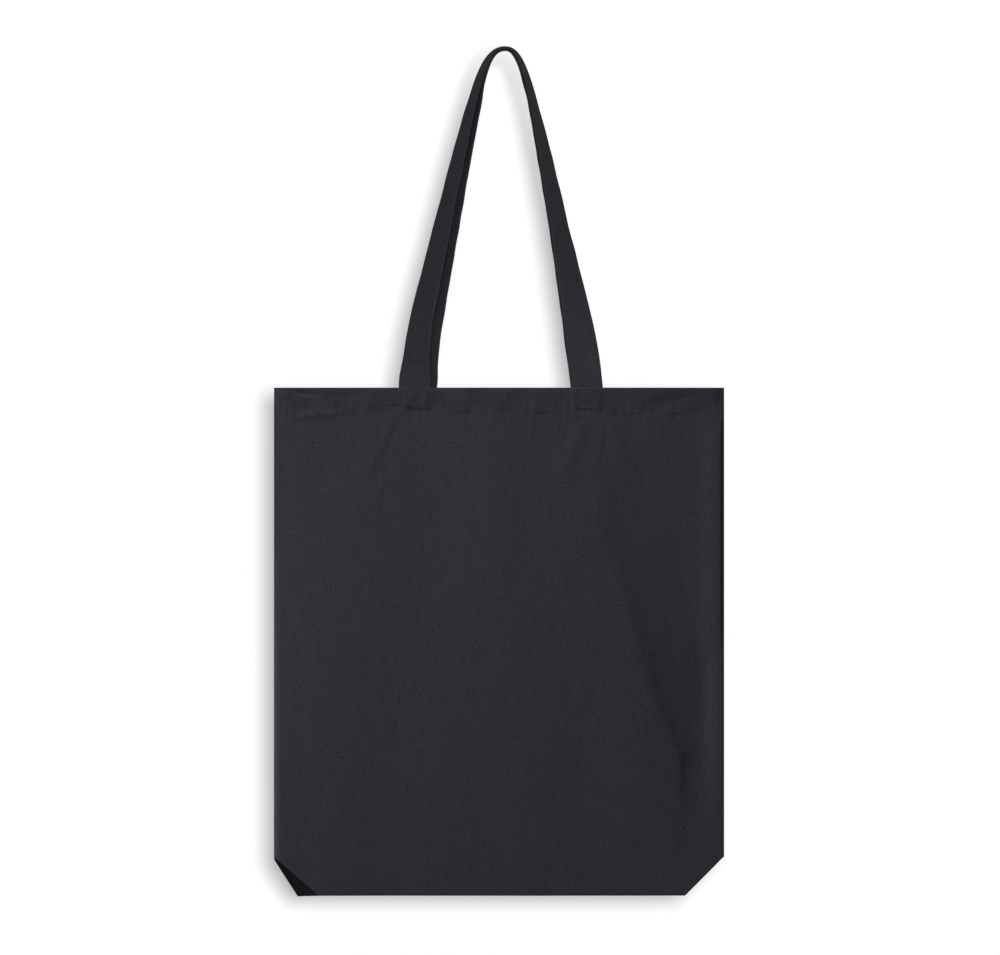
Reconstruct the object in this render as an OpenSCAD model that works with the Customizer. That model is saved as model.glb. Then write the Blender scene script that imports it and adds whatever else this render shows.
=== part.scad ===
// Canvas tote bag with two long handles and a boxed bottom that is folded up inside, hanging by its
// handles. Millimetres, +Z up, +X to the right of the front, +Y from the front to the back.
// The origin is under the inner handle, where a peg would carry it.

/* [Body] */
// Width of the bag from side seam to side seam
body_w = 380; // [320:10:440]
// Height from the bottom crease to the top edge
body_h = 430; // [360:10:500]
// Distance between the middles of the front and back cloth where the mouth is widest
mouth_gap = 24; // [22:1:34]
// Depth that the boxed bottom has when it is opened flat
base_depth = 66; // [50:2:80]
// Thickness of one layer of canvas
cloth_t = 0.8; // [0.6:0.1:1]
// Half width of the flat middle of each panel, between the curved sides
flat_half = 92; // [90:1:110]

/* [Hem] */
// Height of the turned hem
hem_h = 20; // [16:1:30]
// Height of the row of stitches below the top edge
hem_stitch_drop = 18.6; // [12:0.2:28]
// Width of the seam allowances inside
allowance_w = 10; // [6:1:14]

/* [Handles] */
// Width of a handle strap
strap_w = 27; // [20:1:32]
// Thickness of a handle strap, which is folded from several layers
strap_t = 1.8; // [1.2:0.1:2.2]
// Distance between the middles of the two ends of a handle
handle_spacing = 146; // [130:1:150]
// Height of the inner handle's underside above the top edge
handle_drop = 286; // [220:1:340]
// How far right of the bag's middle the front handle is sewn
handle_shift = 1.5; // [0:0.5:3]
// How much closer to the middle the back handle's left end is sewn
back_inset = 5; // [3:0.5:6]
// How far right of the bag's middle the peg carries the handles
peg_shift = 5; // [0:1:8]
// Gap between the two handles where they lie over each other
nest_gap = 0.8; // [0.8:0.1:1.5]
// Height of a sewn handle end below the top edge
strap_end_h = 22; // [20:1:26]

/* [Stitching] */
// Width of a thread line
thread_w = 0.5; // [0.4:0.1:0.8]
// How far a thread line stands out of the cloth
thread_t = 0.25; // [0.2:0.05:0.3]
// Distance of the handle's stitches from its open edge
edge_stitch_inset = 2.6; // [2:0.2:4]
// Width of the crossed box of stitches on each handle end
box_w = 23; // [16:1:24]
// Height of the crossed box of stitches
box_h = 17; // [12:1:18]

/* [Corners] */
// Width of the bevel on the front's left bottom corner
front_left_foot = 36.5; // [33:0.5:40]
// Width of the bevel on the back's left bottom corner, which is less tucked in
back_left_foot = 19.5; // [16:0.5:30]

/* [Hidden] */

CLOTH = [0.187, 0.191, 0.208];
CLOTH_SHADE = [0.150, 0.154, 0.170];
STRAP = [0.165, 0.169, 0.184];
THREAD = [0.240, 0.246, 0.262];

half_w = body_w / 2;
half_gap = mouth_gap / 2;
fold_h = base_depth / 2;        // height of the tucked-up bottom, half of its opened depth
wing_w = half_w - flat_half;    // width of the part of a panel that curves in to the side seam
wing_power = 2.2;               // how sharply that part curves
wing_steps = 8;
layer_gap = 0.05;               // between layers that are sewn to each other
clear_gap = 0.35;               // between pieces that move apart
edge_gap = 0.2;                 // from a panel's inner face to the bag's middle at its side edge
seam_roll_t = 1.6;
hem_y = half_gap - cloth_t - layer_gap;
strap_inner_face = hem_y - cloth_t / 2 - clear_gap;
strap_y = strap_inner_face - strap_t / 2;
leg_steps = 36;
stitch_lift = 0.18;             // from a handle to its stitches, clear of the strap's flat facets
hinge_gap = 0.4;                // from the top edge to the free part of a handle

// Moves what is drawn about the middle of the bottom crease to its place under the peg
module in_place() {
    translate([-peg_shift, 0, -(body_h + handle_drop)]) children();
}

// ---- The bag's section ----

// Distance of a panel's middle surface from the bag's middle plane, at a distance x from its centre
function panel_y(x) =
    let (s = max(0, abs(x) - flat_half) / wing_w)
    half_gap * (1 - pow(s, wing_power));

// The distance x at which the panel comes within y of the middle plane
function reach_of(y) = flat_half + wing_w * pow(1 - y / half_gap, 1 / wing_power);

// Stations across a panel out to the distance reach, closest together in the curved parts
function stations(reach) = [
    for (i = [-wing_steps:-1]) -flat_half - (reach - flat_half) * (-i) / wing_steps,
    -flat_half, flat_half,
    for (i = [1:wing_steps]) flat_half + (reach - flat_half) * i / wing_steps
];

// Section of a layer whose middle lies inset inside the panel's, or outside it when inset is less
// than zero; side is 1 for the back
function layer_section(side, inset, t) =
    let (xs = stations(reach_of(max(inset + t / 2, cloth_t / 2) + edge_gap)), last = len(xs) - 1)
    concat(
        [for (x = xs) [x, side * (panel_y(x) - inset + t / 2)]],
        [for (i = [last:-1:0]) [xs[i], side * (panel_y(xs[i]) - inset - t / 2)]]
    );

// Front view of a panel with its bottom corners cut off along the creases
module outline(left_foot, right_foot) {
    rotate([90, 0, 0])
        linear_extrude(4 * half_gap, center = true)
            polygon([
                [-half_w, fold_h], [-half_w + left_foot, 0],
                [half_w - right_foot, 0], [half_w, fold_h],
                [half_w, body_h], [-half_w, body_h]
            ]);
}

module panel(side, left_foot) {
    in_place() intersection() {
        linear_extrude(body_h) polygon(layer_section(side, 0, cloth_t));
        outline(left_foot, fold_h);
    }
}

module hem(side) {
    in_place() translate([0, 0, body_h - hem_h])
        linear_extrude(hem_h) polygon(layer_section(side, cloth_t + layer_gap, cloth_t));
}

module hem_stitching(side) {
    outward = -(cloth_t + thread_t) / 2 - layer_gap;
    in_place() translate([0, 0, body_h - hem_stitch_drop - thread_w / 2])
        linear_extrude(thread_w) polygon(layer_section(side, outward, thread_t));
}

// ---- Plates that follow two edges ----

function unit(v) = v / norm(v);

// A closed plate of thickness t between the edges a and b, which are lists of matching points. The
// second half's facets mirror the first half's, so that two plates on a twisted loop fit each other.
module ribbon(a, b, t) {
    n = len(a);
    function tangent(p, i) = p[min(i + 1, n - 1)] - p[max(i - 1, 0)];
    function normal(i) = unit(cross(b[i] - a[i], tangent(a, i) + tangent(b, i)));
    points = [for (i = [0:n - 1])
        let (off = normal(i) * t / 2)
        each [a[i] - off, b[i] - off, b[i] + off, a[i] + off]];
    walls = [for (i = [0:n - 2]) for (k = [0:3])
        let (p = 4 * i + k, q = 4 * i + (k + 1) % 4)
        each (2 * i < n - 1 ? [[p, q, q + 4], [p, q + 4, p + 4]] : [[p, q, p + 4], [q, q + 4, p + 4]])];
    last = 4 * (n - 1);
    ends = [[0, 3, 2], [0, 2, 1], [last, last + 1, last + 2], [last, last + 2, last + 3]];
    polyhedron(points = points, faces = concat(walls, ends));
}

// Half of the bottom, from the crease along a panel up to the bottom seam
module base_half(side, left_foot) {
    inset = cloth_t / 2 + clear_gap + cloth_t / 2;
    xs = [for (x = stations(half_w - fold_h - 1)) max(x, -half_w + left_foot + 1)];
    steps = [for (i = [0:len(xs) - 1]) if (i == 0 || xs[i] > xs[i - 1]) xs[i]];
    crease = [for (x = steps) [x, side * (panel_y(x) - inset), cloth_t]];
    seam = [for (x = steps) [max(x, -half_w + fold_h + 1), side * (cloth_t / 2 + edge_gap), fold_h - 0.5]];
    in_place() ribbon(crease, seam, cloth_t);
}

// The corner of a panel that is folded in behind its bevel; hand is -1 for the left
module corner_fold(side, hand, foot) {
    inset = cloth_t + clear_gap;
    top_reach = reach_of(cloth_t + inset + edge_gap);
    foot_x = half_w - foot;
    mid_y = cloth_t / 2 + edge_gap;
    crease = [
        [hand * foot_x, side * (panel_y(foot_x) - inset), cloth_t],
        [hand * top_reach, side * mid_y, fold_h]
    ];
    seam = [
        [hand * (half_w - fold_h), side * mid_y, fold_h - 3],
        [hand * (half_w - fold_h), side * mid_y, fold_h]
    ];
    in_place() ribbon(crease, seam, cloth_t);
}

// ---- Seam allowances inside ----

module side_seam(hand) {
    roll_reach = reach_of(cloth_t / 2 + edge_gap) + clear_gap;
    inner_reach = reach_of(cloth_t + clear_gap);
    in_place() {
        translate([hand * (roll_reach + half_w) / 2, 0, (fold_h + body_h) / 2])
            cube([half_w - roll_reach, seam_roll_t, body_h - fold_h], center = true);
        translate([hand * (inner_reach - allowance_w / 2), 0, (fold_h + 2 + body_h - hem_h - 1) / 2])
            cube([allowance_w, cloth_t, body_h - hem_h - 1 - fold_h - 2], center = true);
    }
}

module base_seam() {
    seam_w = body_w - 2 * fold_h - 2 * allowance_w;
    in_place() translate([-seam_w / 2, -cloth_t / 2, fold_h + edge_gap])
        cube([seam_w, cloth_t, allowance_w]);
}

// A point on the bag's inner side of the tucked-up bottom, at a distance x from the centre
function above_base(side, hand, x, z) =
    let (
        low_y = panel_y(x) - cloth_t - clear_gap,
        high_y = cloth_t / 2 + edge_gap,
        lift = 2.2 * cloth_t
    )
    [hand * x, side * (low_y + (high_y - low_y) * z / fold_h + lift), z];

// The allowance of the seam across a boxed corner, lying against both halves of the bottom
module corner_seam(hand) {
    inner_x = half_w - fold_h - allowance_w;
    outer_x = half_w - fold_h - 1.5;
    low = 12;
    high = fold_h - 2;
    in_place() for (side = [-1, 1])
        ribbon([above_base(side, hand, inner_x, low), above_base(side, hand, outer_x, low)],
               [above_base(side, hand, inner_x, high), above_base(side, hand, outer_x, high)], cloth_t);
}

// ---- Handles ----

function end_x(side, hand) =
    handle_shift + hand * handle_spacing / 2 + (side > 0 && hand < 0 ? back_inset : 0);

module strap_end(side, hand) {
    in_place() translate([end_x(side, hand), side * strap_y, body_h - strap_end_h / 2])
        cube([strap_w, strap_t, strap_end_h], center = true);
}

// A box of stitches with crossed diagonals, flat on the outside of the panel
module box_stitching(side, hand) {
    y = side * (half_gap + cloth_t / 2 + layer_gap + thread_t / 2);
    in_place() translate([end_x(side, hand), y, body_h - 1 - box_h / 2])
        rotate([90, 0, 0]) linear_extrude(thread_t, center = true) {
            difference() {
                square([box_w, box_h], center = true);
                square([box_w - 2 * thread_w, box_h - 2 * thread_w], center = true);
            }
            intersection() {
                square([box_w, box_h], center = true);
                for (turn = [-1, 1])
                    rotate(turn * atan2(box_h, box_w)) square([2 * box_w, thread_w], center = true);
            }
        }
}

// Control points of half a handle's middle line, from the top of the loop to its end: [x, z] from the peg
function leg_control(side, hand) =
    let (
        span = end_x(side, hand) - peg_shift,
        top = body_h + handle_drop + strap_t / 2 + (side < 0 ? strap_t + nest_gap : 0)
    )
    [
        [0, top],
        [(side < 0 ? 0.24 : 0.20) * span, top],
        [(side < 0 ? 0.43 : 0.37) * span, top - 0.14 * handle_drop],
        [span, body_h + hinge_gap]
    ];

function cubic(p, t) =
    pow(1 - t, 3) * p[0] + 3 * pow(1 - t, 2) * t * p[1] + 3 * (1 - t) * t * t * p[2] + pow(t, 3) * p[3];

function cubic_slope(p, t) =
    3 * pow(1 - t, 2) * (p[1] - p[0]) + 6 * (1 - t) * t * (p[2] - p[1]) + 3 * t * t * (p[3] - p[2]);

// The strap faces forward where it is sewn on and turns a quarter round on its way over the peg
function twist(rise) = 90 * pow(max(0, rise - 0.03) / 0.97, 0.8);

// A point of handle number side at station i, where i runs from its left end over the top to its
// right end: across is measured along the strap's width, out from its middle layer
function strap_point(side, i, across, out) =
    let (
        hand = i < 0 ? -1 : 1,
        control = leg_control(side, hand),
        t = abs(i) / leg_steps,
        mid = cubic(control, t),
        along = unit(cubic_slope(control, t)),
        outward = hand * [-along[1], along[0]],
        rise = (mid[1] - body_h - hinge_gap) / (control[0][1] - body_h - hinge_gap),
        turn = twist(rise),
        x = mid[0] + outward[0] * (across * cos(turn) + out * sin(turn)),
        y = side * strap_y * (1 - rise) + across * sin(turn) - out * cos(turn),
        z = mid[1] + outward[1] * (across * cos(turn) + out * sin(turn))
    )
    [x + peg_shift, y, max(z, body_h + hinge_gap)];

module strap_ribbon(side, from, to, out, t) {
    in_place() ribbon(
        [for (i = [-leg_steps:leg_steps]) strap_point(side, i, from, out)],
        [for (i = [-leg_steps:leg_steps]) strap_point(side, i, to, out)],
        t
    );
}

module handle(side) {
    strap_ribbon(side, -strap_w / 2, strap_w / 2, 0, strap_t);
}

module handle_stitching(side) {
    row = strap_w / 2 - edge_stitch_inset;
    out = strap_t / 2 + stitch_lift + thread_t / 2;
    strap_ribbon(side, row - thread_w / 2, row + thread_w / 2, out, thread_t);
}

// ---- One module for each piece ----

module front_panel() { color(CLOTH) panel(-1, front_left_foot); }
module back_panel() { color(CLOTH) panel(1, back_left_foot); }

module front_base_half() { color(CLOTH_SHADE) base_half(-1, front_left_foot); }
module back_base_half() { color(CLOTH_SHADE) base_half(1, back_left_foot); }

module front_left_corner_fold() { color(CLOTH_SHADE) corner_fold(-1, -1, front_left_foot); }
module front_right_corner_fold() { color(CLOTH_SHADE) corner_fold(-1, 1, fold_h); }
module back_left_corner_fold() { color(CLOTH_SHADE) corner_fold(1, -1, back_left_foot); }
module back_right_corner_fold() { color(CLOTH_SHADE) corner_fold(1, 1, fold_h); }

module front_hem() { color(CLOTH) hem(-1); }
module back_hem() { color(CLOTH) hem(1); }

module left_side_seam() { color(CLOTH_SHADE) side_seam(-1); }
module right_side_seam() { color(CLOTH_SHADE) side_seam(1); }
module bottom_seam() { color(CLOTH_SHADE) base_seam(); }
module left_corner_seam() { color(CLOTH_SHADE) corner_seam(-1); }
module right_corner_seam() { color(CLOTH_SHADE) corner_seam(1); }

module front_left_strap_end() { color(STRAP) strap_end(-1, -1); }
module front_right_strap_end() { color(STRAP) strap_end(-1, 1); }
module back_left_strap_end() { color(STRAP) strap_end(1, -1); }
module back_right_strap_end() { color(STRAP) strap_end(1, 1); }

module front_hem_stitching() { color(THREAD) hem_stitching(-1); }
module back_hem_stitching() { color(THREAD) hem_stitching(1); }
module front_left_box_stitching() { color(THREAD) box_stitching(-1, -1); }
module front_right_box_stitching() { color(THREAD) box_stitching(-1, 1); }
module back_left_box_stitching() { color(THREAD) box_stitching(1, -1); }
module back_right_box_stitching() { color(THREAD) box_stitching(1, 1); }

module front_handle() { color(STRAP) handle(-1); }
module back_handle() { color(STRAP) handle(1); }
module front_handle_stitching() { color(THREAD) handle_stitching(-1); }
module back_handle_stitching() { color(THREAD) handle_stitching(1); }

front_panel();
back_panel();
front_base_half();
back_base_half();
front_left_corner_fold();
front_right_corner_fold();
back_left_corner_fold();
back_right_corner_fold();
front_hem();
back_hem();
left_side_seam();
right_side_seam();
bottom_seam();
left_corner_seam();
right_corner_seam();
front_left_strap_end();
front_right_strap_end();
back_left_strap_end();
back_right_strap_end();
front_hem_stitching();
back_hem_stitching();
front_left_box_stitching();
front_right_box_stitching();
back_left_box_stitching();
back_right_box_stitching();
front_handle();
back_handle();
front_handle_stitching();
back_handle_stitching();
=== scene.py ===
import math
import random

import bpy
import numpy as np
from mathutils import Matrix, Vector


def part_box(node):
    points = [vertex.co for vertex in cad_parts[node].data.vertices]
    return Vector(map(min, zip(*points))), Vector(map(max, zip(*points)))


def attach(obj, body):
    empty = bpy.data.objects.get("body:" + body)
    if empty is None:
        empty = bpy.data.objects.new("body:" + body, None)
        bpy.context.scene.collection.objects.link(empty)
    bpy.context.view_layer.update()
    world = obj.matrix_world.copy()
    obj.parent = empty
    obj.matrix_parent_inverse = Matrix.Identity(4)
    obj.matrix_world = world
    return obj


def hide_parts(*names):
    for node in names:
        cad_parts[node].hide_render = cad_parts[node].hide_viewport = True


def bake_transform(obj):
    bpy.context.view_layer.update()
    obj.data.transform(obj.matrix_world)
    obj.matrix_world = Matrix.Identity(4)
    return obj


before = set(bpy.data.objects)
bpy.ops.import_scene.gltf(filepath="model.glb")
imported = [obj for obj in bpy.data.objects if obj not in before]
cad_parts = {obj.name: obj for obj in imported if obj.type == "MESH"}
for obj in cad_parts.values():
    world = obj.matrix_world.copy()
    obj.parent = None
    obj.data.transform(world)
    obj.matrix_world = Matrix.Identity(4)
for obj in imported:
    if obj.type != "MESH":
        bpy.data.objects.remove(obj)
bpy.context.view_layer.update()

# A canvas tote bag, hanging by its two handles. Metres, in the frame of the CAD model. Places on the
# bag are given by x from the middle of the bag, z from its bottom crease, and side, which is -1 for
# the front and 1 for the back; hand is -1 for the left and 1 for the right.

MM = 0.001
UV_NAME = "cloth"

# ---- Sizes that come from the frame ----

panel_low, panel_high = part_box("front_panel")
MID_X = (panel_low[0] + panel_high[0]) / 2
FLOOR_Z = panel_low[2]
BODY_H = panel_high[2] - FLOOR_Z
HALF_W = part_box("right_side_seam")[1][0] - MID_X + 0.8 * MM    # the cloth reaches past its seam
HALF_GAP = -panel_low[1] - 0.4 * MM
FOLD_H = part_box("front_right_corner_fold")[1][2] - FLOOR_Z
HEM_H = BODY_H + FLOOR_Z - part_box("front_hem")[0][2]
HEM_ROW_Z = sum(corner[2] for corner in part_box("front_hem_stitching")) / 2 - FLOOR_Z
HANDLE_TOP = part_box("front_handle")[1][2] - FLOOR_Z


def middle(node, axis):
    """The middle of a CAD node's box along one axis."""
    low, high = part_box(node)
    return (low[axis] + high[axis]) / 2


SIDE_NAME = {-1: "front", 1: "back"}
HAND_NAME = {-1: "left", 1: "right"}
END_X = {
    (side, hand): middle(f"{SIDE_NAME[side]}_{HAND_NAME[hand]}_strap_end", 0) - MID_X
    for side in (-1, 1) for hand in (-1, 1)
}
STRAP_Y = middle("back_left_strap_end", 1)
end_low, end_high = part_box("front_left_strap_end")
STRAP_W = end_high[0] - end_low[0]
STRAP_END_H = end_high[2] - end_low[2]
PEG_X = -MID_X

# ---- Sizes of the cloth itself ----

CLOTH_T = 0.5 * MM          # thickness of the canvas as it is seen
FLAT_HALF = 92 * MM         # half width of the flat middle of each panel
WING_POWER = 2.2            # how sharply a panel curves in beyond that
EDGE_Y = 1.1 * MM           # from the seams' plane to a panel where its side edge rolls in
SEAM_Y = -8 * MM            # how far the side seams sit in front of the middle of the bag
BELLY = 6.5 * MM            # how far the middle of a panel bulges
SIDE_ROLL = 0.4 * MM        # radius of that roll
TOP_ROLL = 0.42 * MM        # radius of the fold along the top edge
CREASE_ROLL = 0.55 * MM     # radius of the fold along the bottom crease
FOOT = {(-1, -1): 37.8 * MM, (-1, 1): FOLD_H, (1, -1): 19.2 * MM, (1, 1): FOLD_H}
CORNER_DROP = 2.6 * MM      # how far the back hangs lower at its left bottom corner
STRAP_T = 1.6 * MM          # thickness of a handle
NEST_GAP = 0.15 * MM        # between the two handles over the peg
ROW_INSET = 2.6 * MM        # from a handle's open edge to its row of stitches
STITCH = 3.0 * MM           # from one stitch to the next
STITCH_GAP = 1.1 * MM       # between the ends of two stitches
THREAD_R = 0.16 * MM
HEM_HOLE_R = 0.20 * MM      # radius of a needle's hole in the hem's rows of stitches
HOLE_R = 0.36 * MM          # and in all other rows
INNER_ROW_Y = 2 * TOP_ROLL + CLOTH_T    # from a stitch outside the hem to its other side inside
DENT_X = 83 * MM            # left edge of the slack dent on the front, where it runs upright
DENT_LEAN = ((309 * MM, 0.29), (170 * MM, 0.25))    # below each height it leans right by that much more
DENT_W = 56 * MM            # from its left edge to its deepest line
DENT_DEPTH = 4.6 * MM
RIGHT_LIP = 2.1 * MM        # how far the front's right edge stands forward, high up
LEFT_LIP = 4.0 * MM         # and its left edge, low down

# How far each box of stitches reaches to the left and the right of its handle's middle
BOX_REACH = {(-1, -1): (-11.6, 10.2), (-1, 1): (-11.0, 12.6), (1, -1): (-11.2, 11.2), (1, 1): (-11.2, 11.2)}
BOX_TOP = BODY_H - 1.2 * MM
BOX_LOW = BOX_TOP - 16.2 * MM


# ---- Small mathematics ----

def smooth(start, end, value):
    """0 before start, 1 after end, and a soft step between them."""
    t = np.clip((value - start) / (end - start), 0, 1)
    return t * t * (3 - 2 * t)


def unit(v):
    """Vectors of length 1 along the last axis."""
    return v / np.maximum(np.linalg.norm(v, axis=-1, keepdims=True), 1e-12)


def run_length(points):
    """Length along a line of points, from its first one to each."""
    return np.concatenate([[0], np.cumsum(np.linalg.norm(np.diff(points, axis=0), axis=1))])


def ripples(seed, x, z, across, along, count=14):
    """Soft random waves of about unit height, with wavelengths near across sideways and along upwards."""
    draw = random.Random(seed)
    total = 0 * (x + z)
    for _ in range(count):
        turn_x = 2 * math.pi / across * draw.uniform(0.55, 1.6)
        turn_z = 2 * math.pi / along * draw.uniform(-1.5, 1.5)
        total = total + np.cos(turn_x * x + turn_z * z + draw.uniform(0, 2 * math.pi))
    return total / math.sqrt(count)


def crease(x, z, start, end, width, height):
    """A soft ridge, or a valley where height is below zero, that fades out at both of its ends."""
    (x0, z0), (x1, z1) = start, end
    length2 = (x1 - x0) ** 2 + (z1 - z0) ** 2
    t = ((x - x0) * (x1 - x0) + (z - z0) * (z1 - z0)) / length2
    off = ((x - x0) * (z1 - z0) - (z - z0) * (x1 - x0)) / math.sqrt(length2)
    fade = smooth(-0.1, 0.25, t) * (1 - smooth(0.55, 1.1, t))
    return height * fade * np.exp(-((off / width) ** 2))


# ---- The shape of the panels ----

def wing(x):
    """0 over the flat middle of the bag, rising to 1 at its side edges."""
    return np.clip((np.abs(x) - FLAT_HALF) / (HALF_W - SIDE_ROLL - FLAT_HALF), 0, 1)


def seam_y(x):
    """Where the plane between both panels lies in depth, which comes forward to the side seams."""
    return SEAM_Y * wing(x) ** 2


def panel_y(side, x):
    """Distance of a panel's middle surface from the bag's middle plane, before its folds."""
    return EDGE_Y + (HALF_GAP - EDGE_Y) * (1 - wing(x) ** WING_POWER) + side * seam_y(x)


def lowest(side, x):
    """Height at which a panel ends, which rises towards the sides along its bevelled corners."""
    foot = np.where(x < 0, FOOT[side, -1], FOOT[side, 1])
    low = FOLD_H * np.clip(1 - (HALF_W - np.abs(x)) / foot, 0, 0.985)
    return low - CORNER_DROP * max(side, 0) * smooth(92 * MM, 150 * MM, -x)


# Folds of each side, each from its upper end to its lower end: x and z, half width and height in mm
FOLDS = {
    -1: [
        ((-88, 410), (-118, 340), 3.4, 0.26), ((-82, 408), (-106, 352), 2.6, -0.2),
        ((-98, 414.6), (-60, 411.8), 1.1, -0.42),
        ((-62, 408), (-42, 372), 4, 0.35), ((-112, 350), (-160, 338), 5, 0.2),
        ((92, 411), (88, 350), 3.5, -0.35), ((74, 408), (48, 340), 7, 0.5),
        ((98, 404), (112, 330), 6, 0.45),
        ((-188, 429), (-150, 423), 1.8, -0.9), ((-186, 404), (-118, 411), 3, 0.6),
        ((-150, 422), (-112, 425), 4, -0.5), ((168, 424), (118, 413), 5, -0.6),
        ((8, 560), (6, -140), 56, 1.2), ((-60, 330), (-70, 70), 30, -0.4),
        ((-126, 380), (-150, 120), 28, 0.5), ((-8, 404), (6, 150), 18, 0.5),
    ],
    1: [
        ((-80, 408), (-108, 350), 5, 0.8), ((84, 408), (112, 345), 6, 0.8),
        ((-56, 408), (-34, 352), 5, -0.6), ((60, 408), (36, 356), 5, 0.6),
        ((20, 320), (40, 60), 24, 1.2), ((-90, 330), (-60, 80), 26, 1.2),
        ((120, 360), (150, 120), 24, -1.0), ((-186, 425), (-140, 418), 4, -0.6),
    ],
}


def right_dent(x, z):
    """The slack dent that runs down the right of the front, from the strap towards the corner."""
    down = 1 - z / BODY_H
    start = DENT_X + sum(lean * np.maximum(0, height - z) for height, lean in DENT_LEAN)
    start = np.minimum(start, HALF_W - 40 * MM)
    valley = np.minimum(start + DENT_W, HALF_W - 15 * MM - 4 * MM * smooth(0.4, 0.6, down))
    depth = DENT_DEPTH * np.clip(down / 0.45, 0, 1) * (1 - smooth(0.62, 0.95, down))
    t = np.clip((x - start) / (valley - start), 0, 1)
    fall = (1 - (1 - t) ** 2) * smooth(-0.02, 0.36, t)
    return -depth * fall * (1 - smooth(valley, HALF_W - 3 * MM, x))


def side_lips(x, z):
    """The front's side edges stand forward a little: the right one, and the left one lower down."""
    down = 1 - z / BODY_H
    right = RIGHT_LIP * smooth(HALF_W - 24 * MM, HALF_W - 3 * MM, x) * smooth(0.03, 0.12, down)
    left = LEFT_LIP * np.clip((-x - FLAT_HALF) / (HALF_W - FLAT_HALF), 0, 1) ** 1.7
    lips = right * smooth(0.54, 0.40, down) + left * smooth(0.2, 0.7, down)
    return lips * smooth(0.4 * MM, 2.8 * MM, HALF_W - np.abs(x))


def corner_pull(side, x, z):
    """The back's left bottom corner hangs back, which opens the fold of the bottom there."""
    if side < 0:
        return 0 * (x + z)
    across = smooth(HALF_W - 1 * MM, HALF_W - 24 * MM, -x) * smooth(92 * MM, 150 * MM, -x)
    return 17 * MM * across * smooth(62 * MM, 4 * MM, z)


def hem_row_z(x):
    """Height of the hem's row of stitches, which wanders a little."""
    wander = 3.6 * MM * np.exp(-(((x + 90 * MM) / (60 * MM)) ** 2))
    return HEM_ROW_Z - 1.0 * MM + wander - 2.0 * MM * smooth(140 * MM, 190 * MM, np.abs(x))


def hem_relief(side, x, z):
    """The turned hem stands out a little, gathers at its stitches and lies over the handles' ends."""
    over_row = z - hem_row_z(x)
    in_hem = smooth(-2.6 * MM, -0.6 * MM, over_row)
    row = np.exp(-((over_row / (0.9 * MM)) ** 2))
    near_row = np.exp(-((over_row / (9 * MM)) ** 2))
    height = 0.25 * MM * in_hem - 0.12 * MM * row
    height = height + 1.1 * MM * smooth(BODY_H - HEM_H, BODY_H, z)
    height = height + 0.20 * MM * near_row * ripples(31 + side, x, z, 10 * MM, 60 * MM)
    height = height + 0.30 * MM * in_hem * ripples(35 + side, x, z, 46 * MM, 40 * MM)
    for hand in (-1, 1):
        off = np.abs(x - END_X[side, hand])
        lift = 1 - smooth(STRAP_W / 2 - 2.5 * MM, STRAP_W / 2 + 2.0 * MM, off)
        height = height + 0.3 * MM * lift * smooth(BOX_LOW - 1.6 * MM, BOX_LOW, z)
    return height


def relief(side, x, z):
    """How far the cloth of a panel stands out from panel_y."""
    free = 1 - smooth(HALF_W - 30 * MM, HALF_W - 4 * MM, np.abs(x))
    calm = 1 - 0.75 * smooth(BODY_H - 60 * MM, BODY_H - 16 * MM, z)
    height = 0.18 * MM * calm * ripples(7 + side, x, z, 110 * MM, 420 * MM)
    height = height + 0.04 * MM * calm * ripples(17 + side, x, z, 26 * MM, 70 * MM)
    for start, end, width, ridge in FOLDS[side]:
        ends = [(px * MM, pz * MM) for px, pz in (start, end)]
        height = height + crease(x, z, *ends, width * MM, ridge * MM)
    height = height * free
    if side < 0:
        height = height + right_dent(x, z) + side_lips(x, z)
    across = 1 - np.minimum(np.abs(x) / HALF_W, 1) ** 2.5
    belly = np.sin(math.pi * np.clip(z / BODY_H, 0, 1) ** 0.85) * across
    edge = smooth(0, 8 * MM, HALF_W - np.abs(x))
    return height + BELLY * belly + corner_pull(side, x, z) + hem_relief(side, x, z) * edge


def columns(side, step):
    """Places across a panel: evenly spaced, closer over the handles' ends, with its corners among them."""
    xs = set(np.round(np.arange(-HALF_W + SIDE_ROLL, HALF_W - SIDE_ROLL, step), 5))
    for hand in (-1, 1):
        near = END_X[side, hand] + np.arange(-17 * MM, 17 * MM, 1 * MM)
        xs |= set(np.round(near, 5))
        xs.add(round(hand * (HALF_W - FOOT[side, hand]), 5))
        xs |= set(np.round(hand * (HALF_W - SIDE_ROLL - np.array([0, 1, 3]) * 0.8 * MM), 5))
    xs = sorted(xs)
    return np.array([x for i, x in enumerate(xs) if i == 0 or x - xs[i - 1] > 0.35 * MM])


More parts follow.
